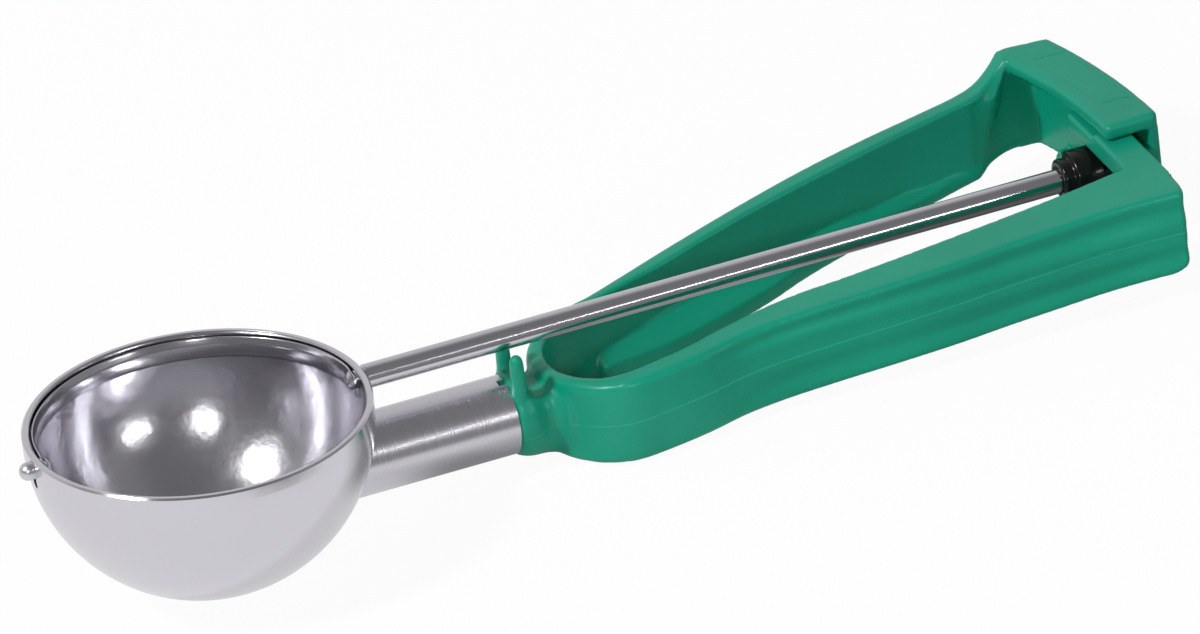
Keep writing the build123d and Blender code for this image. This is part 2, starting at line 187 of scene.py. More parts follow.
def object_noise(material, scale, stretch=(1.0, 1.0, 1.0), detail=2.0):
    """Noise fixed to the piece: scale is in features to the metre."""
    place = helper(material, "ShaderNodeTexCoord")
    turn = helper(material, "ShaderNodeMapping", {"Scale": stretch})
    noise = helper(material, "ShaderNodeTexNoise", {"Scale": scale, "Detail": detail})
    link(material, place, "Object", turn, "Vector")
    link(material, turn, "Vector", noise, "Vector")
    return noise


def tint(material, shader, share, first, last):
    """Colours the shader from first to last by a share between 0 and 1; first may be an earlier mix."""
    mix = helper(material, "ShaderNodeMix", data_type="RGBA")
    if isinstance(first, bpy.types.Node):
        link(material, first, 2, mix, 6)
    else:
        mix.inputs[6].default_value = (*first, 1.0)
    mix.inputs[7].default_value = (*last, 1.0)
    link(material, share, 0, mix, 0)
    link(material, mix, 2, shader, "Base Color")
    return mix


def bump(material, shader, height, distance):
    """Raises the shader's surface by height times distance, in metres."""
    node = helper(material, "ShaderNodeBump", {"Distance": distance, "Strength": 1.0})
    link(material, height, 0, node, "Height")
    link(material, node, "Normal", shader, "Normal")


def steel(name, settings, roughness):
    """The steel's shader before its marks."""
    material, shader = plain_material(name)
    shader.inputs["Base Color"].default_value = (*settings.colour, 1.0)
    shader.inputs["Metallic"].default_value = 1.0
    shader.inputs["Roughness"].default_value = roughness
    return material, shader


# the bowl's inside: how far from the centre it reaches, in metres, its painted shade and its added roughness
INSIDE_REACH = (0.02695, 0.02715)
INSIDE_PAINTED_SHADE = 0.8
INSIDE_BLUR = 0.08
# dimples: features to the metre, depth, uneven roughness, and the share of the depth left outside
DIMPLES = 330.0
DIMPLE_DEPTH = 0.00007
DIMPLE_BLUR = 0.10
DIMPLES_OUTSIDE = 0.2
# marks of turning and drawing: shade of the darkest, and uneven roughness
MARK_SHADE = 0.94
MARK_BLUR = 0.10
# node, material, roughness above the bowl's, stretch and depth of the marks
STEEL_MARKS = (
    ("neck_tube", "tube_steel", 0.14, (4200.0, 90.0, 90.0), 0.000011),
    ("drive_rod", "rod_steel", 0.04, (40.0, 3000.0, 3000.0), 0.0000015),
    ("pivot_pin", "pin_steel", 0.2, (1500.0, 1500.0, 1500.0), 0.00003),
)
# roughness above the bowl's, stretch and depth of the marks, and the painted shade that darkens the blade
BLADE_MARKS_AND_SHADE = (0.04, (500.0, 500.0, 2500.0), 0.000005, 0.85)


def bowl_steel(settings):
    """Pressed steel: bright outside; inside the bowl duller, faintly dimpled, and darkened by painted shade.
    """
    material, shader = steel("bowl_steel", settings, settings.roughness)
    place = helper(material, "ShaderNodeTexCoord")
    reach = helper(material, "ShaderNodeVectorMath", operation="LENGTH")
    link(material, place, "Object", reach, 0)
    inside = soft_step(material, reach, "Value", *INSIDE_REACH, 1.0, 0.0)
    # painted shade: the steel's colour darkened inside the bowl's hollow
    painted_shade_colour = tuple(INSIDE_PAINTED_SHADE * part for part in settings.colour)
    tint(material, shader, inside, settings.colour, painted_shade_colour)
    dimples = object_noise(material, DIMPLES, detail=3.0)
    marks = maths(material, "MULTIPLY", dimples, DIMPLE_BLUR)
    lift = maths(material, "MULTIPLY", inside, INSIDE_BLUR)
    base = maths(material, "ADD", lift, settings.roughness - 0.04)
    rough = maths(material, "ADD", base, marks)
    link(material, rough, 0, shader, "Roughness")
    depth = maths(material, "MULTIPLY_ADD", inside, 1 - DIMPLES_OUTSIDE)
    depth.inputs[2].default_value = DIMPLES_OUTSIDE
    height = maths(material, "MULTIPLY", dimples, depth)
    bump(material, shader, height, DIMPLE_DEPTH)
    return material


def marked_steel(name, settings, roughness, stretch, depth, shade=1.0):
    """Turned or drawn steel: fine marks that run along the axis in which stretch is smallest."""
    material, shader = steel(name, settings, roughness)
    marks = object_noise(material, 1.0, stretch, detail=3.0)
    # a shade under 1 darkens the whole piece: a painted shade, given only to the blade
    dark = [shade * MARK_SHADE * part for part in settings.colour]
    light = [shade * part for part in settings.colour]
    tint(material, shader, marks, dark, light)
    spread = maths(material, "MULTIPLY", marks, MARK_BLUR)
    rough = maths(material, "ADD", spread, roughness - MARK_BLUR / 2)
    link(material, rough, 0, shader, "Roughness")
    bump(material, shader, marks, depth)
    return material


PLASTIC_GLOSS = 0.36
# clouds: features to the metre, and the shades of the colour between which they drift
CLOUDS = 60.0
CLOUD_SHADES = (0.95, 1.04)
# specks of the mould's grain: features to the metre, depth, and uneven roughness
SPECKS = 2600.0
SPECK_DEPTH = 0.000004
SPECK_BLUR = 0.12
# mould line: half width, start of the outer faces, height, paleness of its painted highlight, and the grain's
# share of its height
LINE_WIDTH = (0.00003, 0.00019)
LINE_FACES = (0.004, 0.008)
LINE_DEPTH = 0.00004
LINE_HIGHLIGHT = 0.55
LINE_GRAIN = 0.1


def moulded_plastic(name, colour, roughness, grain=1.0):
    """Semi-gloss moulded plastic: a fine grain, cloudy shades of its colour, and uneven gloss."""
    material, shader = plain_material(name)
    shader.inputs["Specular IOR Level"].default_value = PLASTIC_GLOSS
    clouds = object_noise(material, CLOUDS, detail=3.0)
    share = soft_step(material, clouds, 0, 0.3, 0.7, 0.0, 1.0)
    dark, light = ([shade * part for part in colour] for shade in CLOUD_SHADES)
    cloudy = tint(material, shader, share, dark, light)
    speck = object_noise(material, SPECKS, detail=2.0)
    spread = maths(material, "MULTIPLY", speck, SPECK_BLUR)
    rough = maths(material, "ADD", spread, roughness - SPECK_BLUR / 2)
    link(material, rough, 0, shader, "Roughness")
    bump(material, shader, speck, SPECK_DEPTH * grain)
    return material, shader, speck, cloudy


def handle_plastic(settings):
    """The handle's plastic, with the thin raised line where the halves of its mould meet, painted paler as a
    highlight.
    """
    material, shader, speck, cloudy = moulded_plastic("handle_plastic", settings.colour, settings.roughness)
    place = helper(material, "ShaderNodeTexCoord")
    level = helper(material, "ShaderNodeVectorMath", operation="DOT_PRODUCT")
    level.inputs[1].default_value = (-DECK_SLOPE, 0.0, 1.0)
    link(material, place, "Object", level, 0)
    middle = MM * (DECK_Z - DECK_SLOPE * FLEX_X - PARTING_SHARE * ARM_HEIGHT)
    off = maths(material, "ABSOLUTE", maths(material, "SUBTRACT", (level, "Value"), middle), 0.0)
    line = soft_step(material, off, 0, *LINE_WIDTH, 1.0, 0.0)
    axes = helper(material, "ShaderNodeSeparateXYZ")
    link(material, place, "Object", axes, 0)
    facing = helper(material, "ShaderNodeSeparateXYZ")
    link(material, place, "Normal", facing, 0)
    side = maths(material, "MULTIPLY", (axes, "Y"), (facing, "Y"))
    outer = soft_step(material, side, 0, *LINE_FACES, 0.0, 1.0)
    raised = maths(material, "MULTIPLY", line, outer)
    # painted highlight: the mould line's colour made paler on the outer faces
    pale = maths(material, "MULTIPLY", raised, LINE_HIGHLIGHT)
    tint(material, shader, pale, cloudy, [min(1.0, 1.5 * part + 0.02) for part in settings.colour])
    grain = maths(material, "MULTIPLY", speck, LINE_GRAIN)
    bump(material, shader, maths(material, "ADD", raised, grain), LINE_DEPTH)
    return material


def dress(node, material):
    """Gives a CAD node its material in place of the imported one."""
    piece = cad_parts[node]
    piece.data.materials.clear()
    piece.data.materials.append(material)


# ------------------------------------------------------------------ shape tools
MM = 0.001
FLEX_X = 65.0
DECK_Z = -6.2
DECK_SLOPE = np.tan(np.radians(9.4))
ARM_HEIGHT = 14.4
BEND_X = 71.2
PARTING_SHARE = 0.5


def deck(x):
    """Height of the handle's sloping top at x along the rod, in millimetres."""
    return DECK_Z + DECK_SLOPE * (x - FLEX_X)


def ease(t):
    """Three t squared less two t cubed, held between 0 and 1."""
    t = np.clip(t, 0.0, 1.0)
    return t * t * (3 - 2 * t)


def curve(x, knots):
    """A smooth curve through knots: cubic pieces whose slope at a knot is the mean slope there."""
    knot_x, knot_y = np.array(knots, float).T
    slope = np.gradient(knot_y, knot_x)
    x = np.clip(x, knot_x[0], knot_x[-1])
    i = np.clip(np.searchsorted(knot_x, x) - 1, 0, len(knot_x) - 2)
    width = knot_x[i + 1] - knot_x[i]
    t = (x - knot_x[i]) / width
    rise = knot_y[i + 1] - knot_y[i]
    return (
        knot_y[i]
        + rise * t * t * (3 - 2 * t)
        + width * slope[i] * t * (1 - t) ** 2
        - width * slope[i + 1] * t * t * (1 - t)
    )


def grid_faces(rows, columns):
    """Corner numbers of the quads of a grid of points whose last column joins the first."""
    row = np.arange(rows - 1)[:, None] * columns
    column = np.arange(columns)[None, :]
    after = (column + 1) % columns
    quads = np.stack([row + column, row + after, row + columns + after, row + columns + column], -1)
    return quads.reshape(-1, 4)


def corner(centre_s, centre_d, radius, start, stop, count):
    """A quarter turn of a section's edge, from angle start to stop in degrees, one for each section."""
    angle = np.radians(np.linspace(start, stop, count))[None, :]
    return np.stack(
        [
            centre_s[:, None] + radius[:, None] * np.cos(angle),
            centre_d[:, None] - radius[:, None] * np.sin(angle),
        ],
        -1,
    )


# ----------------------------------------------------------------- handle arms
NEAR_INNER = (
    (66, -11.2), (71.2, -11.4), (77.8, -11.5), (83.3, -10.8), (88.8, -10.3), (94.1, -10.2), (99.2, -10.6),
    (104.1, -11.5), (114.1, -12.9), (124.2, -14.1), (142.2, -15.9), (153.3, -16.4), (160, -16.6),
)
NEAR_OUTER = (
    (66, -15.0), (71.2, -15.75), (79.3, -16.2), (86.6, -15.8), (91.6, -16.3), (101.3, -18.2), (110.9, -20.4),
    (120.5, -22.4), (128.9, -23.7), (136.9, -25.2), (145.1, -26.8), (152.9, -29.1), (157.6, -30.8),
    (160, -31.7),
)
FAR_INNER = (
    (66, 12.2), (71.2, 12.6), (77.5, 13.6), (83.1, 14.4), (94.8, 16.9), (106.3, 18.9), (117.4, 20.1),
    (128.4, 21.0), (139.3, 21.5), (143.2, 21.7), (145.0, 22.3), (146.5, 23.1), (148.0, 23.8),
    (151.6, 24.1), (155.0, 24.1),
)
FAR_OUTER = (
    (66, 14.3), (71.2, 15.2), (78.9, 17.0), (84.9, 18.5), (90.7, 19.8), (102.3, 22.1), (113.7, 23.9),
    (124.7, 24.8), (135.5, 25.1), (141.0, 25.4), (145.0, 26.3), (148.4, 27.6), (150.6, 28.4), (152.0, 28.1),
    (155.0, 26.8),
)
LIP_REACH = (
    (66, 0.8), (74, 2.4), (79, 3.6), (84, 4.6), (90, 5.3), (97, 5.6), (103, 5.3), (108, 4.4),
    (119, 3.2), (134, 1.3), (144, 0.4), (152, 0.2),
)
LIP_DEPTH = ((66, 9.8), (70, 9.6), (87, 8.8), (108, 9.8), (127, 11.0), (143, 12.2), (152, 12.6))
LIP_EDGE = ((66, 11.4), (87, 11.3), (108, 11.4), (127, 11.8), (143, 12.8), (152, 13.2))
BEND_INNER = (
    (90, 12.6), (120, 12.6), (147, 12.3), (176, 11.6), (194, 11.3), (216, 11.1), (238, 11.3), (270, 11.4),
)
BEND_OUTER = (
    (90, 15.2), (121, 15.3), (144, 15.3), (161, 15.0), (172, 14.5), (186, 13.9), (204, 13.8), (222, 14.2),
    (237, 14.9), (252, 15.5), (270, 15.75),
)
# radii of the arms' long edges
INNER_TOP_EDGE = 0.6
INNER_BOTTOM_EDGE = 0.5
OUTER_TOP_EDGE = 1.3
OUTER_BOTTOM_EDGE = 1.1
# the fixed arm's grip: where each flute lies, how far it fans out, and how far it stands out
FLUTE_PLACES = ((0.02, 0), (0.15, 0.07), (0.27, 0.15), (0.42, 0.10), (0.54, 0.06), (0.75, 0.03), (0.94, 0))
FLUTE_HEIGHTS = (0.0, -0.6, 0.25, 0.0, 0.08, -0.55, 0.05)
# the fixed arm's rear: the rounded heel, the end of the inner face, and the rounded tail
HEEL_X = 154.9
HEEL_ROUND = 3.6
REAR_X = 154.75
REAR_INNER_Y = -23.3
TAIL_X = 157.3
TAIL_RUN = 1.1
TAIL_DEPTH = 6.5
# the lever arm's rear: the sweep of its top, the step and fall of its underside, and its end
SWEEP_X = 142.6
SWEEP_RUN = 7.4
STEP_X = 142.4
STEP_RUN = 2.8
STEP_HEIGHT = 1.3
FALL_X = 145
FALL = 0.07
ARM_END = 151.65
END_HEIGHT = 5.0
# the pocket in the lever arm's inner face and the crease that slants across it
POCKET_X = 143.2
POCKET_Y = 21.7
CREASE_X = 147.9
CREASE_SLANT = 4.8
CREASE_SLOPE = 0.9


def arm_sections(x, inner, outer, top, height, lip, lip_depth, edges, wall_push=None, face_pull=None):
    """Rings of a handle arm: a rounded upright box from an inner to an outer plan point.

    inner and outer are plan points (x, y) of each section, top its height and height its depth.
    edges holds the four edge radii: inner top, outer top, outer bottom, inner bottom. The inner
    wall steps inwards by lip below lip_depth. At each depth share, wall_push moves the outer wall
    out and face_pull moves the inner wall in.
    """
    across = outer - inner
    wide = np.hypot(across[:, 0], across[:, 1])
    across = across / wide[:, None]
    r_it, r_ot, r_ob, r_ib = (np.broadcast_to(radius, wide.shape) for radius in edges)
    share = np.linspace(0, 1, 5)[None, 1:-1, None]

    def span(start, stop):
        """The points between the ends of two rounded edges."""
        return start[:, None, :] * (1 - share) + stop[:, None, :] * share

    outer_top = corner(wide - r_ot, r_ot, r_ot, 90, 0, 7)
    outer_bottom = corner(wide - r_ob, height - r_ob, r_ob, 0, -90, 7)
    inner_bottom = corner(r_ib - lip, height - r_ib, r_ib, 270, 180, 5)
    inner_top = corner(r_it, r_it, r_it, 180, 90, 5)
    v = np.linspace(0, 1, 42)[None, 1:-1]
    depth = r_ot[:, None] + v * (height - r_ob - r_ot)[:, None]
    wall = np.stack([np.broadcast_to(wide[:, None], depth.shape), depth], -1)
    w = np.linspace(1, 0, 18)[None, 1:-1]
    rise = r_it[:, None] + w * (height - r_ib - r_it)[:, None]
    step = np.clip((rise - lip_depth[:, None]) / (curve(x, LIP_EDGE) - curve(x, LIP_DEPTH))[:, None], 0, 1)
    face = np.stack([-lip[:, None] * step, rise], -1)
    loop = np.concatenate(
        [
            span(inner_top[:, -1], outer_top[:, 0]),
            outer_top,
            wall,
            outer_bottom,
            span(outer_bottom[:, -1], inner_bottom[:, 0]),
            inner_bottom,
            face,
            inner_top,
        ],
        1,
    )
    share_down = loop[..., 1] / height[:, None]
    if wall_push is not None:
        outward = ease((loop[..., 0] - 0.6 * wide[:, None]) / (0.3 * wide[:, None]))
        loop[..., 0] += outward * wall_push(x[:, None], share_down)
    if face_pull is not None:
        inward = ease((0.4 * wide[:, None] - loop[..., 0]) / (0.3 * wide[:, None]))
        loop[..., 0] -= inward * face_pull(x[:, None], share_down)
    place = inner[:, None, :] + across[:, None, :] * loop[..., :1]
    return np.concatenate([place, (top[:, None] - loop[..., 1])[..., None]], -1)


def grip_flutes(x, v):
    """How far the near flank stands out at depth share v: eased steps that fan out rearwards."""
    grow = ease((x - 78) / 16) * (0.75 + 0.3 * ease((x - 105) / 35) - 0.5 * ease((x - 149) / 9))
    fan = ease((x - 95) / 58)
    places = [start + spread * fan for start, spread in FLUTE_PLACES]
    push = np.zeros(np.broadcast(x, v).shape)
    for k in range(len(places) - 1):
        climb = FLUTE_HEIGHTS[k + 1] - FLUTE_HEIGHTS[k]
        push = push + climb * ease((v - places[k]) / (places[k + 1] - places[k]))
    return grow * push


def heel_rise(x):
    """How far the underside lifts over the heel: a quarter round that ends at the rear."""
    t = np.clip((x - HEEL_X) / HEEL_ROUND, 0, 1)
    return HEEL_ROUND * (1 - np.sqrt(1 - t * t))


def near_arm(x):
    """Sections of the fixed arm at these places along the rod, with a quarter oval for its tail."""
    outer_y = curve(x, NEAR_OUTER)
    tail = np.sqrt(np.clip(1 - ((x - TAIL_X) / TAIL_RUN) ** 2, 0, 1))
    outer_y = np.where(x > TAIL_X, outer_y + TAIL_DEPTH * (1 - tail), outer_y)
    inner_y = np.where(x > REAR_X, REAR_INNER_Y, curve(x, NEAR_INNER))
    top_edge = OUTER_TOP_EDGE - 0.4 * ease((x - 75) / 30)
    bottom_edge = OUTER_BOTTOM_EDGE - 0.2 * ease((x - 90) / 40)
    return arm_sections(
        x,
        np.stack([x, inner_y], -1),
        np.stack([x, outer_y], -1),
        deck(x),
        ARM_HEIGHT - heel_rise(x),
        np.zeros_like(x),
        np.full_like(x, 8.0),
        (INNER_TOP_EDGE, top_edge, bottom_edge, INNER_BOTTOM_EDGE),
        wall_push=grip_flutes,
    )


def bend(angle):
    """Sections of the U-bend at these angles about its centre, from 270 at the near arm to 90 at the far."""
    turn = np.radians(angle)
    way = np.stack([np.cos(turn), np.sin(turn)], -1)
    centre = np.array([BEND_X, 0.0])
    inner = centre + way * curve(angle, BEND_INNER)[:, None]
    outer = centre + way * curve(angle, BEND_OUTER)[:, None]
    x = outer[:, 0]
    far = ease((150 - angle) / 60)
    return arm_sections(
        x,
        inner,
        outer,
        deck(inner[:, 0] * 0.5 + x * 0.5),
        np.full_like(x, ARM_HEIGHT),
        0.9 * far,
        np.full_like(x, 9.6),
        (INNER_TOP_EDGE, OUTER_TOP_EDGE, OUTER_BOTTOM_EDGE, INNER_BOTTOM_EDGE),
    )


def cap_sweep(x):
    """How far the lever arm's top sweeps up to the cap: an arc of a circle that starts level."""
    t = np.clip(x - SWEEP_X, 0, SWEEP_RUN)
    radius = (SWEEP_RUN**2 + CAP_HEIGHT**2) / (2 * CAP_HEIGHT)
    return radius - np.sqrt(radius**2 - t * t)


def step_up(x):
    """How far the lever arm's underside steps up behind the lip."""
    return STEP_HEIGHT * ease((x - STEP_X) / STEP_RUN) - FALL * np.clip(x - FALL_X, 0, None)


def pocket_crease(x, v):
    """How far the lever arm's inner face stays in front of its flare, ahead of a crease that slants."""
    flare = np.clip(curve(x, FAR_INNER) - POCKET_Y, 0, None)
    behind = np.clip(CREASE_SLOPE * (x - CREASE_X + CREASE_SLANT * v) / np.maximum(flare, 0.05), 0, 1)
    top_edge = 1 - ease((v - 0.02) / 0.16)
    return np.where(x > POCKET_X, flare, 0) * (1 - np.maximum(behind, top_edge))


def far_arm(x):
    """Sections of the lever arm at these places along the rod: its top sweeps up to the cap."""
    return arm_sections(
        x,
        np.stack([x, curve(x, FAR_INNER)], -1),
        np.stack([x, curve(x, FAR_OUTER)], -1),
        deck(x) + cap_sweep(x),
        np.where(x > ARM_END, END_HEIGHT, ARM_HEIGHT + cap_sweep(x) - step_up(x)),
        np.where(x > ARM_END, 0.0, curve(x, LIP_REACH)),
        curve(x, LIP_DEPTH) + cap_sweep(x),
        (INNER_TOP_EDGE, OUTER_TOP_EDGE - 0.3 * ease((x - 80) / 30), 1.0, INNER_BOTTOM_EDGE),
        face_pull=pocket_crease,
    )


# ------------------------------------------------------------------------- cap
CAP_PLAN = ((154.2, -7.9), (162.8, -10.1), (158.3, 25.4), (151.3, 28.5), (149.5, 27.2))
CAP_ROUND = 1.05
CAP_BULGES = (0.0, 0.9, 0.0, 0.0, -1.2)
CAP_GAP = 0.3
CAP_HEIGHT = 2.8
CAP_EDGE = 0.85
CAP_UNDER_EDGE = 0.3
PLATE_PLAN = ((153.8, 20.5), (158.6, 18.8), (161.2, -2.0), (156.7, -0.3))
PLATE_GROOVE = 0.13
PLATE_REACH = 0.26
PLATE_FINE = 0.75


def cap_rings():
    """The cap's outline drawn in over its rounded edges: a place and an outward way for each point of it."""
    corners = np.array(CAP_PLAN)
    after = np.roll(corners, -1, 0)
    way = (after - corners) / np.linalg.norm(after - corners, axis=1)[:, None]
    out = np.stack([way[:, 1], -way[:, 0]], -1)
    out_before = np.roll(out, 1, 0)
    lean = 1 + np.sum(out * out_before, 1)
    centres = corners - (out + out_before) * (CAP_ROUND / lean)[:, None]
    turn = np.linspace(0, 1, 8)[None, :, None]
    arc = out_before[:, None] * (1 - turn) + out[:, None] * turn
    arc = arc / np.linalg.norm(arc, axis=2, keepdims=True)
    share = np.linspace(0, 1, 26)[None, 1:-1, None]
    edge = centres[:, None] * (1 - share) + np.roll(centres, -1, 0)[:, None] * share
    swell = np.array(CAP_BULGES)[:, None, None] * 4 * share * (1 - share)
    edge = edge + out[:, None] * swell
    place = np.concatenate([np.broadcast_to(centres[:, None], arc.shape), edge], 1).reshape(-1, 2)
    way = np.concatenate([arc, np.broadcast_to(out[:, None], edge.shape)], 1).reshape(-1, 2)
    low = np.radians(np.linspace(90, 0, 4))
    high = np.radians(np.linspace(0, 90, 9))
    inset = np.concatenate([CAP_UNDER_EDGE * (1 - np.cos(low)), CAP_EDGE * (1 - np.cos(high))])
    under = CAP_GAP + CAP_UNDER_EDGE * (1 - np.sin(low))
    rise = np.concatenate([under, CAP_HEIGHT - CAP_EDGE * (1 - np.sin(high))])
    plan = place[None] + way[None] * (CAP_ROUND - inset)[:, None, None]
    height = deck(plan[..., 0]) + np.minimum(rise[:, None], cap_sweep(plan[..., 0]))
    return np.concatenate([plan, height[..., None]], -1)


def near_plate(points):
    """Distance in plan from points to the line round the plate: the least distance to its four sides."""
    corners = np.array(PLATE_PLAN)
    run = np.roll(corners, -1, 0) - corners
    off = points[:, None, :2] - corners[None]
    share = np.clip(np.sum(off * run, -1) / np.sum(run * run, -1), 0, 1)
    return np.linalg.norm(off - share[..., None] * run, axis=-1).min(1)


def on_cap(points):
    """Whether points lie on the cap's top."""
    return points[:, 2] > deck(points[:, 0]) + CAP_HEIGHT - 0.4


def refine_plate(mesh):
    """Divides the faces along the line round the plate, so that they can hold a thin trench."""
    centres = np.array([face.calc_center_median() for face in mesh.faces]) / MM
    chosen = np.flatnonzero((near_plate(centres) < PLATE_FINE) & on_cap(centres))
    mesh.faces.ensure_lookup_table()
    edges = dict.fromkeys(edge for i in chosen.tolist() for edge in mesh.faces[i].edges)
    bmesh.ops.subdivide_edges(mesh, edges=list(edges), cuts=2, use_grid_fill=True)


def engrave_plate(data):
    """Sinks a thin line round the bare plate: each point drops by a depth that eases out from the line."""
    places = np.empty(3 * len(data.vertices), "f")
    data.vertices.foreach_get("co", places)
    places = places.reshape(-1, 3).astype(float)
    points = places / MM
    depth = PLATE_GROOVE * ease(1 - near_plate(points) / PLATE_REACH) * on_cap(points)
    places[:, 2] -= depth * MM
    data.vertices.foreach_set("co", places.ravel().astype("f"))
    data.update()


# ------------------------------------------------------------- stub and prongs
TUBE_Z = -13.58
STUB_SIDE = (
    (32, 5.4), (51.0, 5.4), (51.05, 6.5), (52.2, 6.85), (53.6, 6.9), (55.0, 6.35), (56.2, 5.9), (57.4, 6.2),
    (58.1, 6.8), (58.6, 7.6), (59.0, 8.6),
)
STUB_RISE = (
    (32, 5.4), (51.0, 5.4), (51.05, 6.5), (52.2, 6.85), (53.6, 6.9), (55.0, 6.35), (56.2, 5.9), (57.4, 6.0),
    (58.1, 6.2), (58.6, 6.4), (59.0, 6.5),
)
STUB_DROP = (
    (32, 5.4), (51.0, 5.4), (51.05, 6.7), (52.2, 7.3), (53.6, 7.75), (55.0, 7.95), (56.2, 8.1), (57.4, 8.3),
    (58.1, 8.4), (59.0, 8.4),
)
VALLEY = (55.6, -6.6, 2.9)
PRONG_X = 52.3
PRONG_SHIFT = 0.7
PRONG_Y = 4.15
PRONG_TOP = -1.35
PRONG_DROP = 7.7
PRONG_ROUND = 1.25
PRONG_HALF = 1.1
PRONG_POWER = 0.75


def stub_rings():
    """Oval rings along the tube's axis, whose top is hollowed by a round valley across the rod."""
    x = np.concatenate([np.linspace(32, 50.9, 6), [50.98, 51.0, 51.06], np.linspace(51.1, 59.0, 60)])
    turn = np.linspace(0, 2 * np.pi, 97)[:-1]
    side = np.interp(x, *np.array(STUB_SIDE).T)
    rise = np.interp(x, *np.array(STUB_RISE).T)
    y = side[:, None] * np.cos(turn)
    drop = np.interp(x, *np.array(STUB_DROP).T)
    z = TUBE_Z + np.where(np.sin(turn) > 0, rise[:, None], drop[:, None]) * np.sin(turn)
    middle, height, radius = VALLEY
    limit = height - np.sqrt(np.clip(radius**2 - (x - middle) ** 2, 0, None))
    limit = np.where(np.abs(x - middle) < radius, limit, 0.0)
    z = np.minimum(z, limit[:, None])
    return np.stack([np.broadcast_to(x[:, None], y.shape), y, z], -1)


def prong_rings(side):
    """A flat rounded blade: stadium-shaped level sections that close in a round top."""
    drop = np.concatenate([np.linspace(0, 1, 12) ** 2 * 1.3, np.linspace(1.6, PRONG_DROP, 11)])
    round_top = np.sqrt(np.clip(1 - (1 - np.minimum(drop, PRONG_ROUND) / PRONG_ROUND) ** 2, 0.0004, 1))
    turn = np.linspace(0, 2 * np.pi, 33)[:-1]
    half_x = PRONG_HALF + 0.025 * drop
    half_y = PRONG_HALF + 0.03 * drop
    middle_x = PRONG_X + (side + 1) / 2 * PRONG_SHIFT
    across = np.sign(np.cos(turn)) * np.abs(np.cos(turn)) ** PRONG_POWER
    along = np.sign(np.sin(turn)) * np.abs(np.sin(turn)) ** PRONG_POWER
    x = middle_x + (half_x * round_top)[:, None] * across
    y = PRONG_Y * side + (half_y * (0.35 + 0.65 * round_top))[:, None] * along
    z = np.broadcast_to((PRONG_TOP - drop)[:, None], x.shape)
    return np.stack([x, y, z], -1)[::-1]


# ------------------------------------------------------------ pinion and blade
PINION_PROFILE = (
    (148.7, 1.9), (148.3, 1.95), (148.3, 3.1), (148.36, 3.3), (148.5, 3.45), (148.7, 3.5), (149.8, 3.5),
    (150.1, 3.45), (150.15, 4.0), (150.2, 4.2), (150.35, 4.38), (150.6, 4.45), (154.5, 4.45),
    (154.75, 4.4), (154.9, 4.3),
)
GEAR_PROFILE = ((154.95, 0.6), (155.1, 1.0), (157.0, 1.0), (157.15, 0.8))
GEAR_ROOT = 2.85
GEAR_TIP = 4.45
GEAR_TEETH = 10
GEAR_CHAMFER = 0.06
TOOTH_STEEPNESS = 1.4
PINION_STEPS = 240
BLADE_FACE = (
    (-1.72, 26.05), (-1.68, 25.9), (-1.55, 25.8), (-1.3, 25.77), (0.45, 25.77), (0.65, 25.8), (0.85, 25.87),
    (1.5, 26.11), (1.66, 26.18), (1.74, 26.28), (1.7, 26.36), (1.5, 26.4), (-1.4, 26.4), (-1.65, 26.34),
    (-1.73, 26.22),
)
# the blade's reach past half a turn, the length of its tapered ends and its tilt at rest, in degrees
BLADE_END = 4.6
BLADE_TAPER = 9.0
BLADE_PARK = 1.2


def pinion_rings():
    """The collar and flange turned about the rod, then the gear: its rim is a clipped cosine, root to tip."""
    turn = np.linspace(0, 2 * np.pi, PINION_STEPS + 1)[:-1]
    tooth = np.clip(0.5 + TOOTH_STEEPNESS * np.cos(GEAR_TEETH * (turn + np.pi / 2)), 0, 1)
    rim = GEAR_ROOT + (GEAR_TIP - GEAR_ROOT) * tooth
    x, radius = np.array(PINION_PROFILE).T
    gear_x, share = np.array(GEAR_PROFILE).T
    collar = np.broadcast_to(radius[:, None], (len(x), PINION_STEPS))
    reach = np.concatenate([collar, rim * (1 - GEAR_CHAMFER + GEAR_CHAMFER * share[:, None])])
    along = np.broadcast_to(np.concatenate([x, gear_x])[:, None], reach.shape)
    return np.stack([along, reach * np.cos(turn), reach * np.sin(turn)], -1)


def blade_rings():
    """A strip bent round the rod's axis: its flat face leans out near the top, and its ends round off."""
    first = np.linspace(-BLADE_END, 6, 24)
    middle = np.linspace(7, 173, 120)
    last = np.linspace(174, 180 + BLADE_END, 24)
    angle = np.radians(np.concatenate([first, middle, last]))
    end = np.minimum(angle, np.pi - angle) + np.radians(BLADE_END)
    t = np.clip(end / np.radians(BLADE_TAPER), 0, 1)
    width = 0.12 + 0.58 * np.sqrt(1 - (1 - np.clip(t / 0.45, 0, 1)) ** 2) + 0.30 * ease((t - 0.45) / 0.55)
    level, reach = np.array(BLADE_FACE).T
    up = width[:, None] * level
    x = reach * np.cos(angle)[:, None]
    out = reach * np.sin(angle)[:, None]
    park = np.radians(BLADE_PARK)
    return np.stack([x, out * np.cos(park) + up * np.sin(park), up * np.cos(park) - out * np.sin(park)], -1)


# --------------------------------------------------------------- joined shells
CUT_SLACK = 1e-7
SKIN_PASSES = 8
TRUE_FROM = 66


def ring_tube(mesh, rings):
    """Adds to a bmesh a closed skin over rings of points in millimetres: quads between them, and two ends."""
    rows, columns = rings.shape[:2]
    faces = grid_faces(rows, columns).tolist()
    faces.append(list(range(columns))[::-1])
    faces.append(list(range((rows - 1) * columns, rows * columns)))
    data = bpy.data.meshes.new("rings")
    data.from_pydata((rings.reshape(-1, 3) * MM).tolist(), [], faces)
    mesh.from_mesh(data)
    bpy.data.meshes.remove(data)


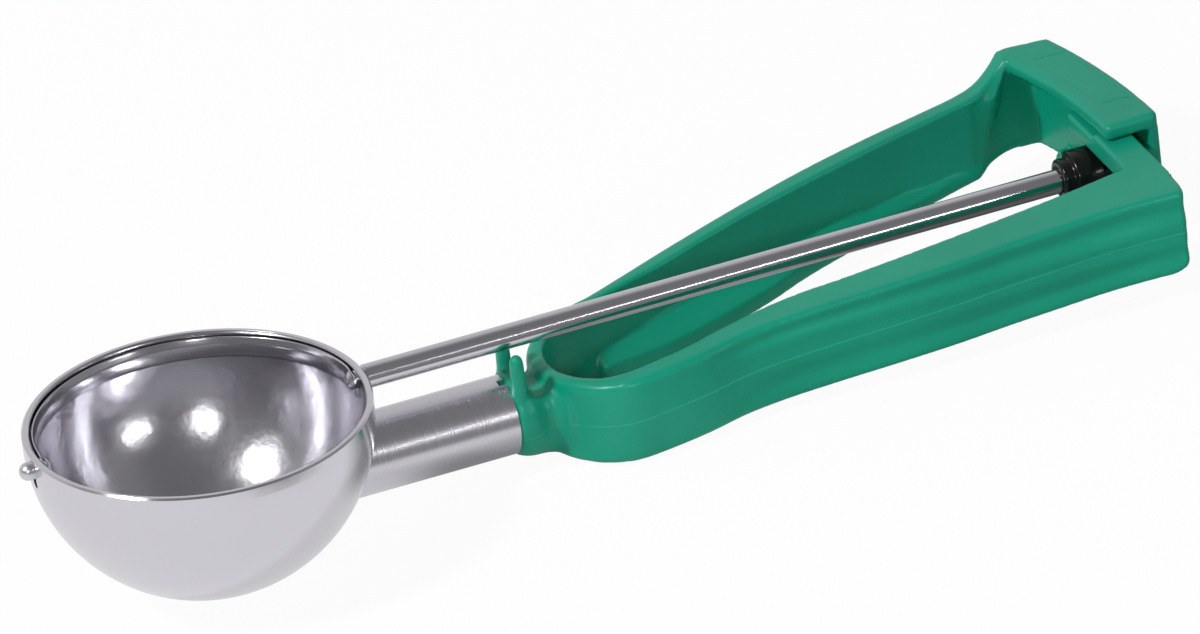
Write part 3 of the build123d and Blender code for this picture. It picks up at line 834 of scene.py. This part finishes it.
def cut_away(mesh, point, direction):
    """Cuts away what lies behind a plane, and gives the cut's points and edges."""
    everything = mesh.verts[:] + mesh.edges[:] + mesh.faces[:]
    place = Vector(point) * MM
    cut = bmesh.ops.bisect_plane(
        mesh, geom=everything, dist=CUT_SLACK, plane_co=place, plane_no=direction, clear_inner=True
    )
    return cut["geom_cut"]


def pour(mesh, other):
    """Adds one bmesh to another, and frees it."""
    data = bpy.data.meshes.new("part")
    other.to_mesh(data)
    other.free()
    mesh.from_mesh(data)
    bpy.data.meshes.remove(data)


def cad_piece(mesh, node, cuts):
    """Adds a merged copy of part of a CAD node: what lies in front of every cut plane (point, direction)."""
    copy = bmesh.new()
    copy.from_mesh(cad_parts[node].data)
    bmesh.ops.remove_doubles(copy, verts=copy.verts, dist=1e-6)
    for point, direction in cuts:
        cut = cut_away(copy, point, direction)
        rim = [edge for edge in cut if isinstance(edge, bmesh.types.BMEdge)]
        bmesh.ops.holes_fill(copy, edges=[edge for edge in rim if edge.is_boundary], sides=0)
    pour(mesh, copy)


def settled(piece):
    """Applies a piece's modifiers to its mesh."""
    bpy.context.view_layer.update()
    done = bpy.data.meshes.new_from_object(piece.evaluated_get(bpy.context.evaluated_depsgraph_get()))
    piece.modifiers.clear()
    piece.data = done


def melt(name, mesh, voxel):
    """Melts overlapping closed shells into one soft-edged skin, laid back on them behind TRUE_FROM."""
    data = bpy.data.meshes.new(name)
    bmesh.ops.recalc_face_normals(mesh, faces=mesh.faces)
    mesh.to_mesh(data)
    mesh.free()
    shells = bpy.data.objects.new(name + "_shells", data)
    piece = bpy.data.objects.new(name, data)
    for thing in (shells, piece):
        bpy.context.scene.collection.objects.link(thing)
    remesh = piece.modifiers.new("skin", "REMESH")
    remesh.mode = "VOXEL"
    remesh.voxel_size = voxel * MM
    soften = piece.modifiers.new("soften", "SMOOTH")
    soften.factor = 0.5
    soften.iterations = SKIN_PASSES
    settled(piece)
    points = np.empty(3 * len(piece.data.vertices), "f")
    piece.data.vertices.foreach_get("co", points)
    group = piece.vertex_groups.new(name="true")
    group.add(np.flatnonzero(points[::3] > TRUE_FROM * MM).tolist(), 1.0, "REPLACE")
    lay = piece.modifiers.new("lay", "SHRINKWRAP")
    lay.target = shells
    lay.vertex_group = "true"
    even = piece.modifiers.new("even", "SMOOTH")
    even.factor = 0.5
    even.iterations = 3
    settled(piece)
    bpy.data.objects.remove(shells)
    bpy.data.meshes.remove(data)
    piece.data.name = name
    return piece


def cut_mesh(data, cuts):
    """A bmesh of the part of a mesh in front of every cut plane, open at the cuts."""
    mesh = bmesh.new()
    mesh.from_mesh(data)
    for point, direction in cuts:
        cut_away(mesh, point, direction)
    return mesh


def finish_piece(name, mesh, material):
    """A smooth-shaded object at the origin from a bmesh."""
    data = bpy.data.meshes.new(name)
    mesh.to_mesh(data)
    mesh.free()
    data.polygons.foreach_set("use_smooth", np.full(len(data.polygons), True))
    data.materials.append(material)
    data.update()
    piece = bpy.data.objects.new(name, data)
    bpy.context.scene.collection.objects.link(piece)
    return piece


# ------------------------------------------------------------------- operators
class SCOOP_OT_steel(Operator):
    """Finish the bowl, the tube, the scraper and the rod in polished steel"""

    bl_idname = "scoop.steel"
    bl_label = "Finish the steel pieces"

    def execute(self, context):
        settings = context.scene.scoop_steel
        rough = settings.roughness
        dress("bowl", bowl_steel(settings))
        for node, name, duller, stretch, depth in STEEL_MARKS:
            dress(node, marked_steel(name, settings, rough + duller, stretch, depth))
        mesh = bmesh.new()
        ring_tube(mesh, blade_rings())
        bmesh.ops.recalc_face_normals(mesh, faces=mesh.faces)
        # the blade's painted shade darkens it against the bowl's wall
        duller, stretch, depth, shade = BLADE_MARKS_AND_SHADE
        rolled = marked_steel("blade_steel", settings, rough + duller, stretch, depth, shade)
        blade = finish_piece("blade", mesh, rolled)
        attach(blade, "scraper")
        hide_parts("scraper_blade")
        return {"FINISHED"}


# planes where the skins are cut and joined: across the rod by x, along it by y
SEAM_X = 120
BAR_X = 152.9
BAR_NEAR_Y = -23.5
BAR_ROOT_Y = -16.4
TONGUE_Y = 12
LEG_X = 150
LEG_COPY_X = 150.4
LEG_END_Y = -12
UNDER_CAP = 0.04


class SCOOP_OT_handle(Operator):
    """Mould the handle"""

    bl_idname = "scoop.handle"
    bl_label = "Mould the handle"

    def execute(self, context):
        settings = context.scene.scoop_plastic
        green = handle_plastic(settings)
        # no section lies at REAR_X or ARM_END, where the arms turn a corner
        near_x = np.concatenate([np.linspace(158.4, 154.8, 28), np.linspace(154.7, 72, 150)])
        far_x = np.concatenate([np.linspace(72, 151.6, 150), np.linspace(151.7, 155.0, 10)])
        band = np.concatenate([near_arm(near_x), bend(np.linspace(270, 90, 90)), far_arm(far_x)])
        fixed = bmesh.new()
        ring_tube(fixed, band)
        ring_tube(fixed, stub_rings())
        for side in (-1, 1):
            ring_tube(fixed, prong_rings(side))
        behind_bar = ((BAR_X, 0, 0), (1, 0, 0))
        cad_piece(fixed, "handle_frame", [behind_bar, ((0, BAR_NEAR_Y, 0), (0, 1, 0))])
        moving = bmesh.new()
        ring_tube(moving, band)
        under_cap = ((FLEX_X, 0, DECK_Z + CAP_GAP + UNDER_CAP), (DECK_SLOPE, 0, -1))
        cad_piece(moving, "handle_lever", [((LEG_COPY_X, 0, 0), (1, 0, 0)), under_cap])
        ring_tube(moving, cap_rings())
        fixed_skin = melt("fixed_skin", fixed, settings.voxel)
        moving_skin = melt("moving_skin", moving, settings.voxel)
        behind_seam = ((SEAM_X, 0, 0), (1, 0, 0))
        near_half = ((0, 0, 0), (0, -1, 0))
        far_half = ((0, 0, 0), (0, 1, 0))
        root = (0, BAR_ROOT_Y, 0)
        near = cut_mesh(fixed_skin.data, [((SEAM_X, 0, 0), (-1, 0, 0))])
        rear = cut_mesh(fixed_skin.data, [behind_seam, ((BAR_X, 0, 0), (-1, 0, 0)), near_half])
        heel = cut_mesh(fixed_skin.data, [behind_bar, (root, (0, -1, 0))])
        far = cut_mesh(moving_skin.data, [behind_seam, far_half])
        leg_end = ((0, LEG_END_Y, 0), (0, 1, 0))
        leg = cut_mesh(moving_skin.data, [((LEG_X, 0, 0), (1, 0, 0)), near_half, leg_end])
        tongue_end = ((0, TONGUE_Y, 0), (0, -1, 0))
        tongue = cut_mesh(fixed_skin.data, [behind_bar, (root, (0, 1, 0)), tongue_end])
        whole = bmesh.new()
        for part in (near, rear, heel, far, leg):
            pour(whole, part)
        bmesh.ops.remove_doubles(whole, verts=whole.verts, dist=2e-6)
        for mesh in (whole, tongue):
            rim = [edge for edge in mesh.edges if edge.is_boundary]
            for edge in rim:
                edge.smooth = False
            bmesh.ops.holes_fill(mesh, edges=rim, sides=0)
        refine_plate(whole)
        shell = finish_piece("handle_shell", whole, green)
        engrave_plate(shell.data)
        bar = finish_piece("handle_tongue", tongue, green)
        for skin in (fixed_skin, moving_skin):
            data = skin.data
            bpy.data.objects.remove(skin)
            bpy.data.meshes.remove(data)
        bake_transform(shell)
        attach(bar, "frame")
        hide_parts("handle_frame", "handle_lever")
        return {"FINISHED"}


PINION_COLOUR = (0.007, 0.007, 0.007)
PINION_ROUGHNESS = 0.2
PINION_GRAIN = 2.0


class SCOOP_OT_pinion(Operator):
    """Mould the pinion in black plastic"""

    bl_idname = "scoop.pinion"
    bl_label = "Mould the pinion"

    def execute(self, context):
        black = moulded_plastic("pinion_plastic", PINION_COLOUR, PINION_ROUGHNESS, PINION_GRAIN)[0]
        mesh = bmesh.new()
        ring_tube(mesh, pinion_rings())
        pinion = finish_piece("pinion", mesh, black)
        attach(pinion, "scraper")
        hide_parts("rod_pinion")
        return {"FINISHED"}


class SCOOP_OT_stage(Operator):
    """Lay the floor, hang the lamps and set up the camera"""

    bl_idname = "scoop.stage"
    bl_label = "Set the stage"

    def execute(self, context):
        settings = context.scene.scoop_stage
        lay_floor(settings)
        hang_lamps(settings)
        light_world()
        place_camera()
        return {"FINISHED"}


# ----------------------------------------------------------------------- stage
FLOOR_MIDDLE = 0.065
FLOOR_DROP = 0.0282
FLOOR_SIDES = 96
# the floor as steel mirrors it, a painted glow: its front edge, its glow before and behind it, and the
# scoop's painted shade
SHEET_WAY = (-0.8, 1.0, 0.0)
SHEET_EDGE = (-0.100, -0.085)
SHEET_GLOW = (0.05, 0.78)
SHADE_SIDES = (0.004, 0.026)
SHADE_START = (0.028, 0.042)
SHADE_DEPTH = 0.65
CAMERA_GLOW = 0.95
MIRROR_GLOW = 0.8
LAMP_AIM = (0.04, 0.0, 0.0)
LAMP_REACH = 1.1
RIGHT_SHARE = 0.6
# walls of the room: a ray's share towards each where it begins and is full, and the light at both
FAR_WALL = (-0.05, 0.80, 0.0, 0.42)
SIDE_WALL = (0.35, 0.70, 0.19, 0.27)
HORIZON = (-0.03, 0.03)
BELOW_LEVEL = 0.7
CAMERA_LENS = 554.175
CAMERA_PLACE = (-0.75885, -2.45696, 1.37702)
CAMERA_RIGHT = (0.9237, -0.3693, -0.1041)
CAMERA_FORWARD = (0.28193, 0.83678, -0.46937)


def lay_floor(settings):
    """A tilted disc under the scoop: a plane FLOOR_DROP away from the bowl's centre."""
    angle = np.linspace(0, 2 * np.pi, FLOOR_SIDES + 1)[:-1]
    slope = np.tan(settings.floor_tilt)
    x = FLOOR_MIDDLE + settings.floor_radius * np.cos(angle)
    y = settings.floor_radius * np.sin(angle)
    z = x * slope - FLOOR_DROP / np.cos(settings.floor_tilt)
    mesh = bpy.data.meshes.new("floor")
    mesh.from_pydata(np.stack([x, y, z], 1).tolist(), [], [list(range(FLOOR_SIDES))])
    floor = bpy.data.objects.new("floor", mesh)
    bpy.context.scene.collection.objects.link(floor)
    mesh.materials.append(floor_material())


def floor_material():
    """White floor: white to the camera but for the shadow; to steel a painted glow, a pale sheet that ends in
    front, with the scoop's shade painted in.
    """
    material, shader = plain_material("floor_white")
    nodes = material.node_tree.nodes
    shader.inputs["Base Color"].default_value = (0.9, 0.9, 0.9, 1.0)
    shader.inputs["Roughness"].default_value = 0.9
    shader.inputs["Specular IOR Level"].default_value = 0.0
    place = helper(material, "ShaderNodeTexCoord")
    front = helper(material, "ShaderNodeVectorMath", operation="DOT_PRODUCT")
    front.inputs[1].default_value = SHEET_WAY
    link(material, place, "Object", front, 0)
    # painted light: a glow that steel mirrors, bright in front of its edge and dim behind it
    sheet = soft_step(material, front, "Value", *SHEET_EDGE, *SHEET_GLOW)
    axes = helper(material, "ShaderNodeSeparateXYZ")
    link(material, place, "Object", axes, 0)
    # painted shade of the tube and rod, darkening that glow along the scoop's axis behind the bowl
    off = maths(material, "ABSOLUTE", (axes, "Y"), 0.0)
    painted_tube_shade = soft_step(material, off, 0, *SHADE_SIDES, SHADE_DEPTH, 0.0)
    behind_bowl = soft_step(material, axes, "X", *SHADE_START, 0.0, 1.0)
    shade = maths(material, "SUBTRACT", 1.0, maths(material, "MULTIPLY", painted_tube_shade, behind_bowl))
    painted_mirror_glow = maths(material, "MULTIPLY", sheet, shade)
    path = helper(material, "ShaderNodeLightPath")
    seen = helper(material, "ShaderNodeMix", {"B": 1.0}, data_type="FLOAT")
    link(material, path, "Is Camera Ray", seen, "Factor")
    link(material, painted_mirror_glow, 0, seen, "A")
    glow = helper(material, "ShaderNodeEmission")
    link(material, seen, "Result", glow, "Strength")
    camera_share = maths(material, "MULTIPLY", (path, "Is Camera Ray"), CAMERA_GLOW)
    glossy_share = maths(material, "MULTIPLY", (path, "Is Glossy Ray"), MIRROR_GLOW)
    share = maths(material, "ADD", camera_share, glossy_share)
    mix = helper(material, "ShaderNodeMixShader")
    link(material, share, 0, mix, 0)
    link(material, shader, 0, mix, 1)
    link(material, glow, 0, mix, 2)
    link(material, mix, 0, nodes["Material Output"], "Surface")
    return material


def lamp(name, direction, width, height, power):
    """A soft oval lamp turned to LAMP_AIM, a point just behind the bowl, from LAMP_REACH away."""
    light = bpy.data.lights.new(name, "AREA")
    light.shape = "ELLIPSE"
    light.size = width
    light.size_y = height
    light.energy = power
    holder = bpy.data.objects.new(name, light)
    bpy.context.scene.collection.objects.link(holder)
    aim = Vector(LAMP_AIM)
    holder.location = aim + LAMP_REACH * Vector(direction).normalized()
    holder.rotation_euler = (aim - holder.location).to_track_quat("-Z", "Y").to_euler()


def hang_lamps(settings):
    """The key lamp above the bowl, and two low lamps in front."""
    lamp("key", (-0.68, -0.10, 0.72), 0.15, 0.15, settings.key_power)
    lamp("left_front", (-0.37, -0.80, 0.45), 0.14, 0.10, settings.side_power)
    lamp("right_front", (0.45, -0.82, 0.34), 0.36, 0.06, RIGHT_SHARE * settings.side_power)


def light_world():
    """A studio: pale behind the scoop and at its right, dim in front, paler below, white to the camera."""
    world = bpy.data.worlds.new("studio")
    bpy.context.scene.world = world
    world.use_nodes = True
    place = helper(world, "ShaderNodeTexCoord")
    way = helper(world, "ShaderNodeSeparateXYZ")
    link(world, place, "Generated", way, 0)
    far_wall = soft_step(world, way, "Y", *FAR_WALL)
    side_wall = soft_step(world, way, "X", *SIDE_WALL)
    room = maths(world, "ADD", far_wall, side_wall)
    above = soft_step(world, way, "Z", *HORIZON, 0.0, 1.0)
    level = helper(world, "ShaderNodeMix", {"A": BELOW_LEVEL}, data_type="FLOAT")
    link(world, above, 0, level, "Factor")
    link(world, room, 0, level, "B")
    path = helper(world, "ShaderNodeLightPath")
    white = helper(world, "ShaderNodeMix", {"B": 1.0}, data_type="FLOAT")
    link(world, path, "Is Camera Ray", white, "Factor")
    link(world, level, "Result", white, "A")
    backdrop = world.node_tree.nodes["Background"]
    link(world, white, "Result", backdrop, "Color")
    backdrop.inputs["Strength"].default_value = 1.0


def place_camera():
    """A long lens, turned and rolled as a product shot taken from above the left side."""
    data = bpy.data.cameras.new("camera")
    data.sensor_width = 36.0
    data.lens = CAMERA_LENS
    data.clip_end = 20.0
    camera = bpy.data.objects.new("camera", data)
    bpy.context.scene.collection.objects.link(camera)
    right = Vector(CAMERA_RIGHT).normalized()
    forward = Vector(CAMERA_FORWARD).normalized()
    up = right.cross(forward).normalized()
    turn = Matrix((right, up, -forward)).transposed().to_4x4()
    camera.matrix_world = Matrix.Translation(CAMERA_PLACE) @ turn
    bpy.context.scene.camera = camera
    bpy.context.scene.view_settings.view_transform = "Standard"


# ----------------------------------------------------------------------- panel
class SCOOP_PT_panel(Panel):
    """Lists the steps that dress the scoop."""

    bl_idname = "SCOOP_PT_panel"
    bl_label = "Ice cream scoop"
    bl_space_type = "VIEW_3D"
    bl_region_type = "UI"
    bl_category = "Scoop"

    def draw(self, context):
        scene = context.scene
        for settings in (scene.scoop_steel, scene.scoop_plastic, scene.scoop_stage):
            box = self.layout.box()
            for name in settings.__annotations__:
                box.prop(settings, name)
        for operator in STEPS:
            self.layout.operator(operator.bl_idname)


STEPS = (SCOOP_OT_steel, SCOOP_OT_handle, SCOOP_OT_pinion, SCOOP_OT_stage)
CLASSES = (SteelSettings, PlasticSettings, StageSettings, *STEPS, SCOOP_PT_panel)


def register():
    """Registers the classes and puts their settings on the scene."""
    for cls in CLASSES:
        bpy.utils.register_class(cls)
    bpy.types.Scene.scoop_steel = PointerProperty(type=SteelSettings)
    bpy.types.Scene.scoop_plastic = PointerProperty(type=PlasticSettings)
    bpy.types.Scene.scoop_stage = PointerProperty(type=StageSettings)


def unregister():
    """Takes the settings and the classes away again."""
    for name in ("scoop_steel", "scoop_plastic", "scoop_stage"):
        delattr(bpy.types.Scene, name)
    for cls in reversed(CLASSES):
        bpy.utils.unregister_class(cls)


def main():
    """Dresses the scoop step by step."""
    register()
    bpy.ops.scoop.steel()
    bpy.ops.scoop.handle()
    bpy.ops.scoop.pinion()
    bpy.ops.scoop.stage()


if __name__ == "__main__":
    main()
